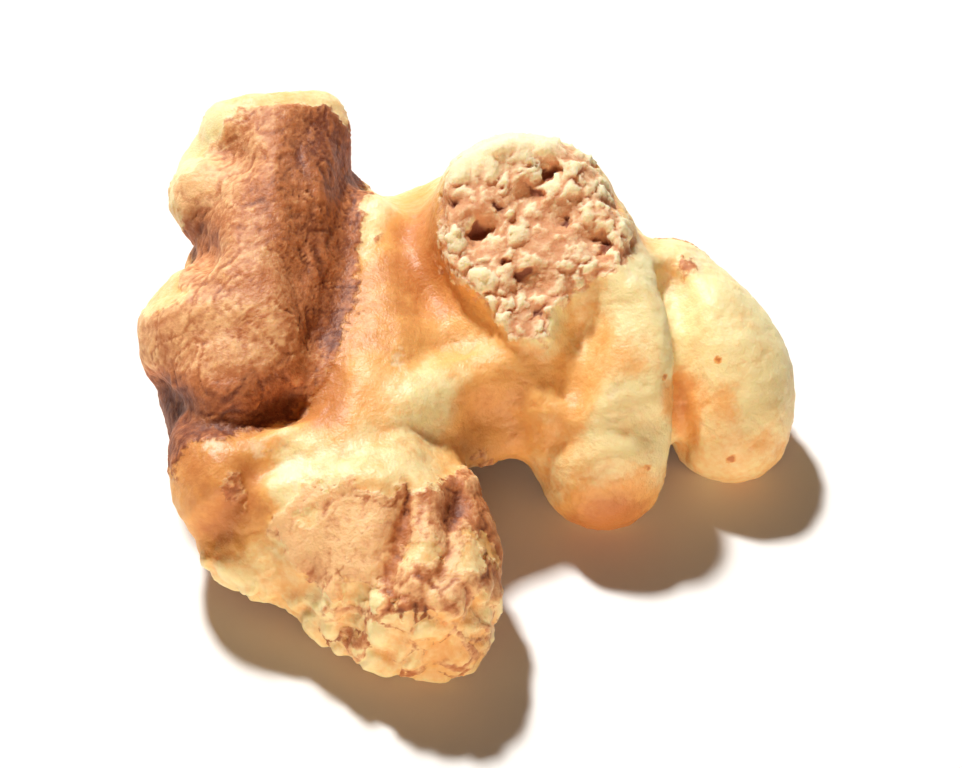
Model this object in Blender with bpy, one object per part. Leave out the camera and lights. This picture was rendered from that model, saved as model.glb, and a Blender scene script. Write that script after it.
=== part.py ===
"""A broken piece of walnut kernel, lying as it comes to rest on a flat surface.

One piece that grew as one body: a tall wall of folded flesh on the left, a low saddle beside it, a stump
whose end is broken off, and finger-like lobes that reach down to the surface. Lengths in the lists below are
millimetres, X to the right, Y away from the front lobe and Z up; the finished mesh is in metres.
"""

import math

import bmesh
import bpy
from mathutils import Matrix, Vector, noise
from mathutils.bvhtree import BVHTree

MM = 0.001

# Driving dimensions
PIECE_WIDTH = 31.6  # across the finished piece, along X
TRIANGLES = 9600  # of the finished solid
SOFT_VOXEL = 0.45  # mesh size in which the bulk is melted together
SOFT_PASSES = 22  # of smoothing, so that the bulk has no seams
VOXEL = 0.32  # mesh size in which the lobes are melted onto the bulk
JOIN_PASSES = 2  # of smoothing before the strokes are drawn
MELT_PASSES = 5  # of smoothing, which rounds the seams where lobes meet

BEAD_STEP = 0.28  # spacing of the beads along a lobe, as a share of their radius
STROKE_STEP = 0.35  # spacing of the points along a stroke

# The kernel's broad face leans forward from level by this much, and passes this high over the origin.
FACE_LEAN = math.radians(40)
FACE_HEIGHT = 5.86

# Each lobe is a swelling ridge through a few points: x, y, z and the ridge's radius there.
BULK = {
    "wall": [(-9.3, 12.6, 8.6, 3.3), (-9.4, 8.0, 8.2, 3.5), (-10.2, 3.6, 7.6, 3.6), (-10.8, 0.4, 6.6, 3.4)],
    "wall_root": [(-9.4, 11.4, 4.8, 3.2), (-9.8, 6.0, 5.2, 3.1), (-10.4, 0.6, 5.0, 3.0)],
    "saddle": [(-4.6, 9.6, 6.3, 2.8), (-4.1, 5.2, 6.5, 2.7), (-4.4, 0.6, 6.6, 2.7), (-5.6, -3.2, 5.6, 3.1)],
    "saddle_left": [(-6.2, 8.4, 6.4, 2.5), (-6.2, 5.2, 6.6, 2.5), (-6.8, 1.6, 6.6, 2.5)],
    "stump": [(0.6, 10.0, 6.6, 3.4), (2.6, 8.5, 8.5, 4.9)],
    "stump_side": [(3.0, 8.0, 7.6, 3.4), (5.4, 7.4, 8.5, 3.0)],
    "middle": [(-1.6, 2.6, 5.9, 2.6), (1.4, 4.0, 6.2, 2.8), (4.8, 4.6, 5.9, 2.8)],
    "middle_front": [(-1.6, -0.6, 5.4, 2.6), (1.3, 0.2, 4.9, 2.3), (4.4, 0.8, 4.9, 2.5)],
    "fan": [(7.0, 7.4, 5.8, 2.8), (9.2, 6.2, 4.9, 2.8)],
    "front": [(-6.0, -4.0, 4.8, 3.6), (-3.8, -7.2, 4.2, 3.8), (-2.8, -8.7, 3.9, 3.6)],
}
LOBES = {
    "wall_top": [(-8.6, 14.2, 9.4, 2.3), (-10.2, 14.0, 10.0, 2.2), (-11.2, 13.4, 10.2, 1.9)],
    "wall_crest": [
        (-8.9, 12.6, 9.6, 2.8), (-9.0, 9.6, 9.5, 2.9), (-9.5, 6.8, 8.9, 3.0), (-10.1, 4.4, 8.2, 3.2),
    ],
    "wall_shoulder": [(-12.0, 12.0, 8.8, 2.1), (-12.0, 10.6, 8.8, 2.4)],
    "wall_flank": [(-7.5, 14.6, 9.8, 1.7), (-7.3, 12.4, 8.7, 1.9), (-7.5, 9.8, 8.0, 1.9)],
    "wall_bulge": [(-10.2, 3.4, 8.5, 3.1), (-12.3, 3.2, 7.2, 3.4)],
    "wall_heel": [(-9.4, 2.6, 8.2, 2.7), (-9.8, 0.9, 7.3, 2.7), (-12.0, 1.2, 6.4, 2.8)],
    "cheek": [(-11.2, -1.8, 6.2, 2.9), (-10.6, -4.4, 5.0, 3.1), (-8.6, -3.6, 6.0, 2.6)],
    "cheek_knob": [(-10.8, -6.4, 3.4, 1.9), (-9.4, -7.4, 3.4, 1.9)],
    "front_lobe": [(-4.2, -5.2, 5.4, 3.2), (-2.2, -9.3, 3.8, 3.75)],
    "front_shoulder": [(-2.0, -4.3, 4.9, 2.1), (-1.6, -5.6, 4.8, 2.3), (-0.9, -7.6, 4.2, 2.5)],
    "front_side": [(-8.4, -5.6, 5.0, 2.2), (-7.0, -6.4, 4.9, 2.5), (-5.2, -9.0, 3.6, 2.6)],
    "stump_toe": [(2.8, 5.4, 8.0, 2.6), (3.2, 2.9, 7.3, 2.0)],
    "stump_heel": [(4.4, 5.6, 8.0, 2.2), (5.6, 4.6, 7.0, 2.2)],
    "finger_root": [(5.2, 6.4, 8.1, 2.5), (7.0, 5.2, 7.5, 2.6), (7.7, 4.0, 7.0, 2.4)],
    "saddle_knob": [(-4.8, 10.1, 8.3, 1.2), (-4.2, 9.4, 8.2, 1.2)],
    "ridge": [(-3.4, -1.0, 7.4, 1.5), (-1.2, 0.0, 7.0, 1.5), (1.4, 1.2, 7.0, 1.5), (4.0, 2.8, 6.8, 1.4)],
    "inner_finger": [(7.3, 5.8, 6.8, 2.7), (7.5, 2.8, 6.2, 3.0), (7.0, 0.4, 4.9, 3.1), (6.3, -1.3, 2.8, 3.1)],
    "inner_side": [(4.4, 1.6, 5.0, 2.6), (4.9, -0.2, 3.6, 2.5)],
    "outer_finger": [
        (9.5, 7.4, 5.9, 2.5), (11.4, 4.9, 5.2, 2.9), (12.6, 2.8, 4.0, 3.0), (12.5, 1.5, 2.7, 2.9),
    ],
    "rim": [(-7.9, -7.6, 2.5, 1.7), (-5.9, -9.6, 2.5, 1.8), (-3.7, -11.1, 2.5, 1.8), (-1.0, -11.3, 2.5, 1.9)],
    "back_left": [(-9.6, 13.0, 5.6, 3.0), (-9.3, 11.8, 2.75, 2.85)],
    "flank": [(-11.2, 9.2, 4.8, 2.4), (-12.2, 4.2, 4.2, 2.5), (-11.4, -1.4, 3.8, 2.4)],
    "back_ridge": [
        (-8.6, 13.6, 6.4, 2.4), (-5.0, 11.6, 4.8, 2.1), (-1.8, 12.2, 4.9, 2.1), (1.6, 12.3, 6.4, 2.6),
    ],
    "back_low": [
        (-6.4, 11.8, 3.4, 2.1), (-2.6, 11.6, 4.0, 2.0), (0.8, 12.6, 3.6, 2.2), (3.6, 12.4, 2.7, 2.7),
    ],
    "back_right": [(2.0, 12.2, 5.6, 2.7), (5.2, 11.6, 5.8, 2.4), (7.2, 8.6, 5.4, 2.3)],
    "back_corner": [(6.2, 10.6, 3.6, 2.2), (8.8, 9.2, 3.4, 2.3), (11.0, 7.6, 3.6, 2.3)],
    "root_left": [(-9.4, 11.6, 2.7, 2.8), (-10.8, 8.4, 3.4, 2.6), (-10.2, 4.8, 4.2, 2.4)],
    "root_right": [(3.6, 12.2, 2.8, 2.6), (5.4, 9.4, 3.4, 2.3), (4.4, 6.8, 4.2, 2.1)],
    "under_left": [
        (-7.2, 9.0, 4.2, 2.1), (-6.0, 6.0, 4.4, 1.9), (-7.0, 2.6, 4.4, 1.9), (-6.2, -1.4, 4.0, 2.1),
    ],
    "under_middle": [
        (-2.4, 10.0, 4.6, 1.9), (-1.6, 6.6, 4.9, 1.8), (-3.0, 3.4, 4.8, 1.8), (-1.8, 0.0, 4.5, 1.9),
    ],
    "under_right": [(1.6, 9.6, 4.6, 1.9), (2.6, 6.4, 5.0, 1.9), (1.0, 3.4, 4.8, 1.8)],
    "under_fan": [(6.6, 9.0, 4.0, 2.0), (6.0, 5.6, 4.2, 1.9), (9.2, 4.6, 3.8, 2.0)],
}
# Height of the plane in which the lowest lobes are cut flat, so that the piece rests on them.
FLOOR = 0.25
CUT_MERGE = 1e-7  # distance in metres from the plane of the cut that counts as on it

# Strokes are thrown at the face from this far outside it, and surface turned away from it is left alone.
THROW_FROM = 50.0
TURNED_AWAY = -0.2

# Strokes drawn on the face, seen square on: route as x across and y up the face, half-width and height.
# A height under nothing presses the surface in.
FACE_STROKES = {
    "crease_under_wall": ([(-14.8, 1.0), (-13.6, -0.2), (-11.0, -0.6), (-8.2, -0.1)], 1.3, -1.0),
    "notch_in_wall": ([(-15.6, 7.6), (-13.4, 7.9), (-12.2, 7.0)], 1.4, -1.0),
    "flank_line": ([(-7.4, 13.6), (-8.1, 11.4), (-7.6, 8.6), (-8.0, 5.6), (-7.2, 3.4)], 1.3, -0.45),
    "wall_foot": ([(-5.4, 12.6), (-6.1, 9.4), (-6.0, 6.2), (-6.8, 3.2), (-6.9, 0.8)], 1.8, -0.25),
    "wall_fold_top": ([(-13.6, 12.4), (-12.0, 12.3), (-10.4, 11.6)], 1.2, -0.5),
    "wall_fold_low": ([(-15.4, 5.2), (-13.0, 5.9), (-10.4, 5.6)], 1.2, -0.4),
    "cheek_edge": ([(-8.4, -2.2), (-9.8, -3.2), (-10.8, -4.6), (-11.9, -6.0)], 1.3, -0.8),
    "front_groove_left": ([(-2.9, -4.2), (-3.1, -6.0), (-3.7, -8.0)], 1.1, -0.8),
    "front_groove_right": ([(-0.7, -4.2), (-0.7, -6.2), (-1.1, -7.8)], 0.9, -0.6),
    "front_brow": ([(-9.4, -3.9), (-7.2, -3.3), (-4.6, -3.2), (-2.0, -3.9), (0.2, -3.6)], 1.0, 0.35),
    "front_rim_1": ([(-6.9, -7.6), (-7.6, -9.0)], 0.9, -0.5),
    "front_rim_2": ([(-5.2, -8.8), (-5.9, -10.8)], 0.9, -0.5),
    "front_rim_3": ([(-3.3, -9.8), (-3.8, -12.0)], 0.9, -0.5),
    "front_rim_4": ([(-1.3, -10.2), (-1.4, -12.4)], 0.9, -0.45),
    "front_rim_5": ([(0.2, -9.0), (1.2, -10.6)], 0.9, -0.45),
    "hollow": ([(0.9, -0.9), (1.9, -1.0)], 2.0, -0.9),
    "dip_by_stump": ([(-2.5, 9.8), (-2.7, 7.2), (-1.9, 5.2), (-1.0, 3.4)], 1.9, -0.4),
    "dip_by_finger": ([(5.6, 3.6), (5.5, 2.4), (5.0, 1.0)], 1.6, -0.7),
    "finger_crest": ([(7.2, 6.0), (8.5, 4.6), (9.0, 2.4), (8.6, 0.4)], 1.3, 0.45),
    "finger_waist": ([(4.6, -1.7), (6.6, -1.2), (8.8, -1.4)], 1.1, -0.35),
    "between_fingers": ([(9.6, 6.2), (10.1, 3.4), (10.2, 0.4), (9.8, -2.4)], 1.2, -1.1),
}

# The end of the stump broke off: outline of the break seen square on, its height out of the face at the
# middle of the outline, and how much it falls back per millimetre up the face.
BREAK_OUTLINE = [
    (-1.8, 11.1), (0.0, 11.9), (1.8, 12.6), (3.5, 12.5), (4.9, 11.7), (5.8, 10.4), (7.4, 8.6), (7.6, 7.4),
    (6.7, 6.5), (5.5, 5.9), (4.1, 4.6), (3.7, 2.9), (1.9, 3.0), (0.7, 4.8), (-1.2, 6.5), (-1.2, 9.3),
]
BREAK_MIDDLE = 0.2
BREAK_FALL = 0.31
BREAK_FILL = 1.5  # how far under the break its rim may be drawn up to it
BREAK_FLOOR = -6.0  # height out of the face under which nothing belongs to the stump's end
BREAK_GRAIN = 0.4  # height of the crumbs on the broken face
BREAK_PIT_DEPTH = 1.1
BREAK_PITS = [
    (3.8, 11.0, 0.8), (2.9, 9.8, 0.8), (0.6, 8.2, 1.0), (6.2, 7.8, 1.0), (2.8, 5.6, 0.8), (4.4, 9.0, 0.7),
]
# Height up the face at which the wall's far end is broken off, over the middle of the wall, its slope across
# the wall, its raggedness, and where the wall's right side ends.
WALL_END = 15.1
WALL_MIDDLE = -9.0
WALL_SLOPE = 0.13
WALL_RAGGED = 0.3
WALL_RIGHT = -5.0
WAVE = 0.28  # height of the slow unevenness of the whole surface


def clear_scene():
    for obj in list(bpy.data.objects):
        bpy.data.objects.remove(obj)


def route_through(points, step):
    """Points along a Catmull-Rom curve through the given ones, at most this far apart."""
    knots = [Vector(p) for p in points]
    ends = [2 * knots[0] - knots[1]] + knots + [2 * knots[-1] - knots[-2]]
    route = []
    for a, b, c, d in zip(ends, ends[1:], ends[2:], ends[3:]):
        pieces = max(1, math.ceil((c - b).length / step))
        for i in range(pieces):
            t = i / pieces
            bend = (2 * a - 5 * b + 4 * c - d) * t**2 + (3 * b - a - 3 * c + d) * t**3
            route.append(0.5 * (2 * b + (c - a) * t + bend))
    return route + [knots[-1]]


def add_beads(bm, lobes):
    """Every lobe as a row of overlapping beads."""
    for points in lobes.values():
        for x, y, z, radius in route_through(points, BEAD_STEP * min(p[3] for p in points)):
            at = Matrix.Translation(Vector((x, y, z)) * MM)
            bmesh.ops.create_icosphere(bm, subdivisions=3, radius=radius * MM, matrix=at)


def melted(bm, voxel, passes):
    """The beads as one closed skin, with the seams between them softened."""
    mesh = bpy.data.meshes.new("melting")
    bm.to_mesh(mesh)
    bm.free()
    obj = bpy.data.objects.new("melting", mesh)
    bpy.context.scene.collection.objects.link(obj)
    skin = obj.modifiers.new("skin", "REMESH")
    skin.mode = "VOXEL"
    skin.voxel_size = voxel * MM
    soften = obj.modifiers.new("soften", "SMOOTH")
    soften.factor = 0.5
    soften.iterations = passes
    result = bpy.data.meshes.new_from_object(obj.evaluated_get(bpy.context.evaluated_depsgraph_get()))
    bpy.data.objects.remove(obj)
    return result


def face_axes():
    """Origin, right, up and outward directions of the kernel's broad face."""
    lean = Matrix.Rotation(FACE_LEAN, 3, "X")
    right, up, out = (lean @ Vector(axis) for axis in ((1, 0, 0), (0, 1, 0), (0, 0, 1)))
    return Vector((0, 0, FACE_HEIGHT)) * MM, right, up, out


def thrown_onto(tree, route, axes):
    """Points of a route on the face, thrown onto the surface; a point that misses is left out."""
    origin, right, up, out = axes
    found = []
    for x, y in route:
        start = origin + (right * x + up * y + out * THROW_FROM) * MM
        hit = tree.ray_cast(start, -out)[0]
        if hit:
            found.append(hit)
    return found


def apply_stroke(bm, points, half_width, height, facing):
    """Raises or presses the surface along the points, fading to nothing at the half-width."""
    reach = half_width * MM
    for vert in bm.verts:
        if vert.normal.dot(facing) < TURNED_AWAY:
            continue
        gap = min((vert.co - p).length_squared for p in points) ** 0.5
        if gap < reach:
            fade = (1 - (gap / reach) ** 2) ** 2
            vert.co += vert.normal * height * MM * fade


def inside_outline(x, y, outline):
    inside = False
    for (x1, y1), (x2, y2) in zip(outline, outline[1:] + outline[:1]):
        if (y1 > y) != (y2 > y) and x < x1 + (y - y1) * (x2 - x1) / (y2 - y1):
            inside = not inside
    return inside


def carve_strokes(bm, axes):
    for route, half_width, height in FACE_STROKES.values():
        points = thrown_onto(BVHTree.FromBMesh(bm), route_through(route, STROKE_STEP), axes)
        apply_stroke(bm, points, half_width, height, axes[3])
        bm.normal_update()


def face_place(co, axes):
    """Place of a point across, up and out of the face, in millimetres."""
    origin, right, up, out = axes
    offset = (co - origin) / MM
    return offset.dot(right), offset.dot(up), offset.dot(out)


def break_stump(bm, axes):
    """Takes the stump's end down to a rough facet with pits."""
    out = axes[3]
    middle = sum(y for x, y in BREAK_OUTLINE) / len(BREAK_OUTLINE)
    for vert in bm.verts:
        x, y, height = face_place(vert.co, axes)
        if vert.normal.dot(out) < 0.1 or height < BREAK_FLOOR or not inside_outline(x, y, BREAK_OUTLINE):
            continue
        level = BREAK_MIDDLE - BREAK_FALL * (y - middle)
        if height < level - BREAK_FILL:
            continue
        crumbs = noise.noise(Vector((x, y, 3.0)) * 1.1) + 0.6 * noise.noise(Vector((x, y, 8.0)) * 2.3)
        pits = sum(max(0, 1 - math.hypot(x - px, y - py) / radius) for px, py, radius in BREAK_PITS)
        vert.co += out * (level + BREAK_GRAIN * crumbs - BREAK_PIT_DEPTH * pits - height) * MM
    bm.normal_update()


def square_off_wall(bm, axes):
    """Breaks the far end of the wall off along a ragged line."""
    for vert in bm.verts:
        x, y, height = face_place(vert.co, axes)
        ragged = WALL_RAGGED * noise.noise(Vector((x, height, 0)) * 0.9)
        line = WALL_END + WALL_SLOPE * (x - WALL_MIDDLE) + ragged
        if x < WALL_RIGHT and y > line:
            vert.co += axes[2] * (line - y) * MM
    bm.normal_update()


def make_uneven(bm):
    for vert in bm.verts:
        place = vert.co / MM
        swell = noise.noise(place * 0.22) + 0.5 * noise.noise(place * 0.55 + Vector((7, 0, 0)))
        vert.co += vert.normal * WAVE * swell * MM
    bm.normal_update()


def kernel_shape():
    """The whole kernel as a fine mesh, where it stands before its feet are cut."""
    axes = face_axes()
    bulk = bmesh.new()
    add_beads(bulk, BULK)
    bulk_mesh = melted(bulk, SOFT_VOXEL, SOFT_PASSES)
    bm = bmesh.new()
    bm.from_mesh(bulk_mesh)
    add_beads(bm, LOBES)
    joined = melted(bm, VOXEL, JOIN_PASSES)
    bm = bmesh.new()
    bm.from_mesh(joined)
    bm.normal_update()
    make_uneven(bm)
    carve_strokes(bm, axes)
    break_stump(bm, axes)
    square_off_wall(bm, axes)
    return melted(bm, VOXEL, MELT_PASSES)


def thinned(mesh):
    """The same shape in the wanted number of triangles."""
    obj = bpy.data.objects.new("thinning", mesh)
    bpy.context.scene.collection.objects.link(obj)
    triangles = sum(len(face.vertices) - 2 for face in mesh.polygons)
    fewer = obj.modifiers.new("fewer", "DECIMATE")
    fewer.ratio = TRIANGLES / triangles
    result = bpy.data.meshes.new_from_object(obj.evaluated_get(bpy.context.evaluated_depsgraph_get()))
    bpy.data.objects.remove(obj)
    return result


def cut_feet(bm):
    """Cuts the lowest lobes flat, in the plane that the piece rests on."""
    bmesh.ops.bisect_plane(
        bm,
        geom=list(bm.verts) + list(bm.edges) + list(bm.faces),
        dist=CUT_MERGE,
        plane_co=(0, 0, FLOOR * MM),
        plane_no=(0, 0, -1),
        clear_outer=True,
    )
    bmesh.ops.holes_fill(bm, edges=[edge for edge in bm.edges if edge.is_boundary], sides=0)
    bmesh.ops.triangulate(bm, faces=[face for face in bm.faces if len(face.verts) > 3])


def set_in_place(bm):
    """Scales the piece to its width and puts the middle of its box's bottom on the origin."""
    low = [min(vert.co[i] for vert in bm.verts) for i in range(3)]
    high = [max(vert.co[i] for vert in bm.verts) for i in range(3)]
    middle = Vector(((low[0] + high[0]) / 2, (low[1] + high[1]) / 2, low[2]))
    bmesh.ops.translate(bm, verts=bm.verts, vec=-middle)
    bmesh.ops.scale(bm, verts=bm.verts, vec=Vector((1, 1, 1)) * PIECE_WIDTH * MM / (high[0] - low[0]))
    bmesh.ops.recalc_face_normals(bm, faces=bm.faces)


def kernel_material():
    material = bpy.data.materials.new("walnut kernel")
    material.use_nodes = True
    surface = material.node_tree.nodes["Principled BSDF"]
    surface.inputs["Base Color"].default_value = (0.60, 0.38, 0.16, 1)
    surface.inputs["Roughness"].default_value = 0.45
    material.diffuse_color = (0.60, 0.38, 0.16, 1)
    return material


def main():
    clear_scene()
    bm = bmesh.new()
    bm.from_mesh(thinned(kernel_shape()))
    cut_feet(bm)
    set_in_place(bm)
    mesh = bpy.data.meshes.new("walnut_piece")
    bm.to_mesh(mesh)
    bm.free()
    mesh.materials.append(kernel_material())
    obj = bpy.data.objects.new("walnut_piece", mesh)
    bpy.context.scene.collection.objects.link(obj)


if __name__ == "__main__":
    main()
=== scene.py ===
"""Looks of a broken piece of walnut kernel: its skin, bare flesh and broken end, and a plain studio round it.

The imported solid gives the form. A finer copy of it is carved with what is too small for the solid:
wrinkles of the skin, the step where skin ends, grains and pits of the break, knobs of the front rim, and the
slight waviness of bare flesh.
"""

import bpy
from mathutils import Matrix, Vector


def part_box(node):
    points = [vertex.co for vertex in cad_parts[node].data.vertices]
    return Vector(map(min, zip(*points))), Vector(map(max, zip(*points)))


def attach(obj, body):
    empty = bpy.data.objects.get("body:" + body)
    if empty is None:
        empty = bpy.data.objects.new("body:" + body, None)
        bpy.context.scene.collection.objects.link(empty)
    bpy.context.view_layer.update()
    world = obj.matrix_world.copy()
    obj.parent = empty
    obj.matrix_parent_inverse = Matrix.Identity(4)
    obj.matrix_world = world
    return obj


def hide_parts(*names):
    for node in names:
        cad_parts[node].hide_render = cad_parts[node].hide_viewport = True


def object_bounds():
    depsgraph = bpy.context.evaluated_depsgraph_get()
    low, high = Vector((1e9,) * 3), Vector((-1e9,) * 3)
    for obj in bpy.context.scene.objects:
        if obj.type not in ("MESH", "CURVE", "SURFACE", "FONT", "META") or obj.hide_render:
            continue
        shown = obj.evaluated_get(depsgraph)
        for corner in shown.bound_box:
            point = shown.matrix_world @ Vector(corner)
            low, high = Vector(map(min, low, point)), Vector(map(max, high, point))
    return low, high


bl_info = {
    "name": "Walnut Kernel Piece",
    "version": (1, 0, 0),
    "blender": (4, 5, 0),
    "location": "View3D > Sidebar > Walnut",
    "description": "Fine surface, finish and studio of a broken piece of walnut kernel",
    "category": "Object",
}

import math

import bmesh
import bpy
import numpy as np
from mathutils import Matrix, Vector, noise

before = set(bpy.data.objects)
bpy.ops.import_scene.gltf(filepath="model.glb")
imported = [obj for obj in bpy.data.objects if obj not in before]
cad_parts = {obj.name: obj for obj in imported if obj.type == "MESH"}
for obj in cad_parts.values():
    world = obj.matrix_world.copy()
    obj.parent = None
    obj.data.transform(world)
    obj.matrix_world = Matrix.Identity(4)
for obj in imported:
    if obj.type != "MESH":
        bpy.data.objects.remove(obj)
CAD_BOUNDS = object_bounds()

NODE = "walnut_piece"
LOW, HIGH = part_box(NODE)

# The places below were drawn for a piece this many units wide, so a unit is close to a millimetre.
DRAWN_WIDTH = 31.14
UNIT = (HIGH[0] - LOW[0]) / DRAWN_WIDTH

# The kernel's broad face: how far it leans forward from level, and the point that its drawings start from.
FACE_LEAN = math.radians(40)
FACE_START = Vector((-0.02, -1.60, 5.61)) * UNIT

# Skin left on the piece, seen square on the face: outlines, x across and y up, in units.
WALL_SKIN = [
    (-11.6, 13.7), (-8.9, 14.3), (-6.6, 14.6), (-5.6, 13.0), (-4.9, 10.4), (-5.2, 7.3), (-5.4, 4.4),
    (-5.7, 2.9), (-6.9, 0.8), (-8.2, -0.7), (-11.1, -1.5), (-12.8, -1.7), (-13.8, -2.9), (-16.4, -3.4),
    (-17.4, 1.1), (-16.6, 4.6), (-14.4, 4.3), (-13.3, 5.3), (-13.6, 8.6), (-14.2, 10.4), (-12.9, 11.6),
    (-11.9, 12.5),
]
FRONT_SKIN = [
    (-8.6, -4.1), (-5.3, -3.5), (-3.2, -3.8), (-1.3, -3.5), (0.8, -2.2), (3.6, -5.0), (4.6, -7.7),
    (4.6, -12.0), (1.6, -12.2), (0.8, -10.6), (-0.2, -9.6), (-1.6, -9.3), (-3.2, -9.0), (-5.0, -9.3),
    (-6.2, -8.8), (-7.4, -8.2), (-8.3, -6.6), (-9.2, -5.4),
]
# Small scraps of thin skin on the flesh: middle and radius.
SKIN_SCRAPS = [(-10.9, -3.9, 0.7), (10.4, 6.6, 0.8), (1.6, -2.2, 0.45), (-4.4, 7.9, 0.4)]
# Gaps in the front skin, where golden flesh shows: middle and radius.
SKIN_GAPS = [
    (-1.9, -6.5, 0.7), (0.2, -6.9, 0.6), (0.9, -9.6, 0.7), (-7.3, -5.2, 0.5), (-4.6, -9.0, 0.8),
    (-2.2, -10.4, 0.6),
]

# The wall's far end is torn off square: its height up the face over the middle of the wall, and its slope.
WALL_END = 15.0
WALL_MIDDLE = -9.0
WALL_SLOPE = 0.13
# The wall lies left of this, and the front lobe below this.
WALL_RIGHT = -5
FRONT_TOP = -3
# Round its side, out of sight, the front lobe has skin only right of this.
FRONT_SIDE = -3
# A distance inside an outline that stands for far outside it.
FAR_OUTSIDE = -5
# The fan of wrinkles down the front lobe: the point it spreads from, and how many cells of noise make a radian.
FAN_START = (-3.6, 3.0)
FAN_DENSITY = 19

# How dark the skin is, from 0, worn thin, to 1: middle, reach and darkness of each patch: the skin's own tints
# and wear, and painted light and shade.
# Partly painted shade: the wall's dark right flank, the notch under the top-left lump and the crease under the
# wall. The pale top-left lump is partly a painted highlight.
SKIN_STAINS_LIGHT_AND_SHADE = [
    (-9.6, 13.0, 1.4, 0.45), (-7.0, 12.2, 1.4, 0.95), (-9.0, 9.6, 1.6, 0.60), (-6.6, 8.6, 1.5, 0.75),
    (-6.2, 5.2, 1.5, 0.75), (-12.6, 11.2, 1.5, 0.05), (-12.4, 8.4, 0.9, 0.65), (-10.6, 6.8, 1.6, 0.38),
    (-11.4, 3.6, 2.0, 0.32), (-15.0, 3.4, 1.2, 0.30), (-13.6, -0.6, 1.6, 0.95), (-9.8, 0.0, 1.2, 0.90),
    (-6.8, 1.4, 1.0, 0.60), (-6.1, 3.6, 0.8, 1.05), (-7.4, -5.0, 1.2, -0.06), (-5.4, -5.6, 1.4, 0.08),
    (-4.6, -8.2, 1.2, 0.04),
    (-2.0, -6.4, 1.0, 0.10), (-0.4, -8.6, 1.2, 0.08), (1.4, -7.4, 1.0, 0.32), (1.4, -11.0, 1.4, 0.42),
    (-0.4, -4.0, 1.0, 0.42), (-2.6, -10.6, 1.6, 0.40),
]
# How deep the bare flesh's colour is, from 0, cream, to 1, orange, for each patch: the flesh's own golden
# tones, and painted light and shade.
# Painted shade at the inner finger's tip, the wall's right foot and the dip by the fingers; painted light on
# the ridge and the inner finger's middle, where the surface turns away from the key lamp.
FLESH_STAINS_LIGHT_AND_SHADE = [
    (-2.6, 7.2, 1.4, 1.10), (-4.9, 8.8, 1.2, 0.00), (-4.4, 4.2, 1.6, 0.90), (-6.6, 0.9, 1.3, 1.20),
    (-4.4, 0.8, 1.2, 0.42), (-2.2, 0.4, 1.2, 0.08), (-3.6, -1.8, 1.2, 0.20), (1.3, -0.4, 1.3, 0.70),
    (-0.2, 3.0, 1.2, 0.42), (-1.0, 5.2, 1.0, 0.80), (5.0, 3.8, 1.1, 0.10), (4.8, 0.6, 1.3, 0.55),
    (7.0, 2.4, 0.9, 0.45), (8.8, 3.4, 1.1, -0.10), (8.5, 5.4, 0.9, -0.25), (7.4, -0.6, 1.3, -0.30),
    (6.4, -3.2, 1.2, 0.28), (6.6, -5.0, 1.1, 1.35), (9.9, 0.2, 0.7, 0.75), (12.6, 3.6, 2.0, -0.20),
    (11.6, 0.2, 1.0, 0.35), (13.6, 0.4, 1.0, 0.05), (13.2, -2.4, 1.0, 0.35), (10.2, 6.4, 1.2, 0.12),
    (-11.6, -2.2, 1.5, 1.00), (-11.0, -5.0, 1.1, 1.10), (-9.4, -7.4, 1.4, 0.22), (-7.6, -3.0, 1.2, 0.05),
    (-5.8, -9.6, 1.2, 0.15), (-0.6, -11.8, 1.4, 0.35), (-12.8, 12.4, 1.2, 0.05),
]

# Veins pressed into the skin of the front lobe: route, half width and depth.
VEINS = [
    ([(-2.7, -3.7), (-2.8, -4.9), (-3.2, -5.9), (-3.3, -7.0), (-3.8, -7.8)], 0.42, 0.18),
    ([(-0.9, -3.4), (-0.6, -4.4), (-0.8, -5.6)], 0.36, 0.12),
    ([(-1.0, -5.4), (-0.9, -6.6), (-1.4, -7.6)], 0.24, 0.07),
    ([(-5.0, -8.2), (-3.8, -8.6), (-2.9, -9.2), (-1.6, -9.4)], 0.26, 0.09),
    ([(0.6, -5.2), (1.0, -6.6), (0.7, -8.0)], 0.26, 0.08),
    ([(-2.2, -7.6), (-1.4, -8.4), (-0.6, -9.4)], 0.22, 0.07),
]

# The broken end of the stump, seen square on, and its pits: middle, radius, stretch and turn.
BREAK_OUTLINE = [
    (-2.0, 11.2), (-0.4, 12.4), (1.8, 13.6), (3.9, 13.4), (5.5, 12.4), (6.5, 10.6), (7.8, 8.8), (7.9, 7.2),
    (6.9, 6.3), (5.5, 5.7), (4.1, 4.6), (3.7, 2.9), (1.9, 3.0), (0.7, 4.8), (-1.3, 6.5), (-1.4, 9.3),
]
BREAK_PITS = [
    (3.9, 11.0, 0.42, 1.6, 0.3), (3.0, 10.1, 0.36, 1.7, 2.3), (1.5, 9.4, 0.30, 1.8, 2.5),
    (0.5, 8.2, 0.38, 2.0, 0.5), (6.4, 7.6, 0.50, 1.4, 1.9), (-0.8, 9.6, 0.35, 1.7, 0.9),
    (2.6, 6.2, 0.35, 2.0, 0.2), (3.3, 4.4, 0.30, 1.5, 1.2),
    (1.7, 6.8, 0.22, 1.3, 0.8), (4.6, 8.8, 0.22, 1.5, 1.4),
]
# Where the break has few grains and its ground shows: middle and reach.
BREAK_BARE = [(3.6, 8.6, 1.7), (0.8, 8.4, 1.1), (-0.6, 9.8, 0.8), (2.4, 6.0, 1.0), (5.6, 7.4, 1.0)]
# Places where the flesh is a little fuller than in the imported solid: middle, reach and height.
FULLER = [(-2.4, -0.5, 1.3, 0.40), (8.2, -1.4, 0.9, 0.22), (1.3, -10.2, 1.5, 0.40)]
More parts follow.
